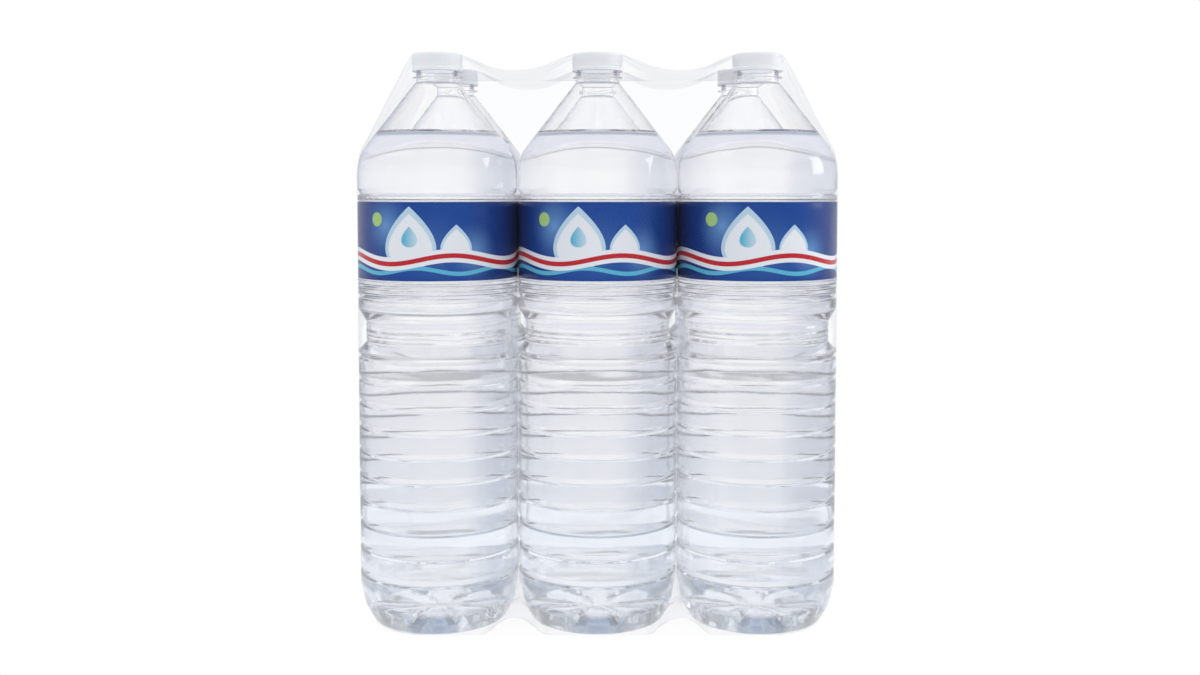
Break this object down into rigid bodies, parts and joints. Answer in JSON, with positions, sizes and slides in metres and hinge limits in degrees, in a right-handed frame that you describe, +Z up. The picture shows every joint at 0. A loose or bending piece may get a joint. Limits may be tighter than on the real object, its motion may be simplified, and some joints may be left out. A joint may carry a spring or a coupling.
{
  "type": "pack of water bottles",
  "caption": "Shrink-wrapped pack of clear ribbed water bottles with screw caps and printed labels; it stands on its flat base.",
  "frame": {"origin": "middle of the underside of the film, on the surface that the pack stands on", "axes": "+Z up the bottles, +X along the pack's longer side, +Y from the front of the pack to its back"},
  "size_m": [0.2658, 0.1774, 0.3136],
  "materials": {
    "film": "clear glossy shrink film",
    "bottle": "clear glossy moulded plastic",
    "water": "clear water",
    "label": "printed film",
    "cap": "milky satin plastic"
  },
  "bodies": {
    "root": {"film": "film", "bottle_front_left": "bottle", "bottle_front_middle": "bottle", "bottle_front_right": "bottle", "bottle_back_left": "bottle", "bottle_back_middle": "bottle", "bottle_back_right": "bottle", "water_front_left": "water", "water_front_middle": "water", "water_front_right": "water", "water_back_left": "water", "water_back_middle": "water", "water_back_right": "water", "label_front_left": "label", "label_front_middle": "label", "label_front_right": "label", "label_back_left": "label", "label_back_middle": "label", "label_back_right": "label", "cap_front_left": "cap", "cap_front_middle": "cap", "cap_front_right": "cap", "cap_back_left": "cap", "cap_back_middle": "cap", "cap_back_right": "cap"}
  },
  "joints": []
}
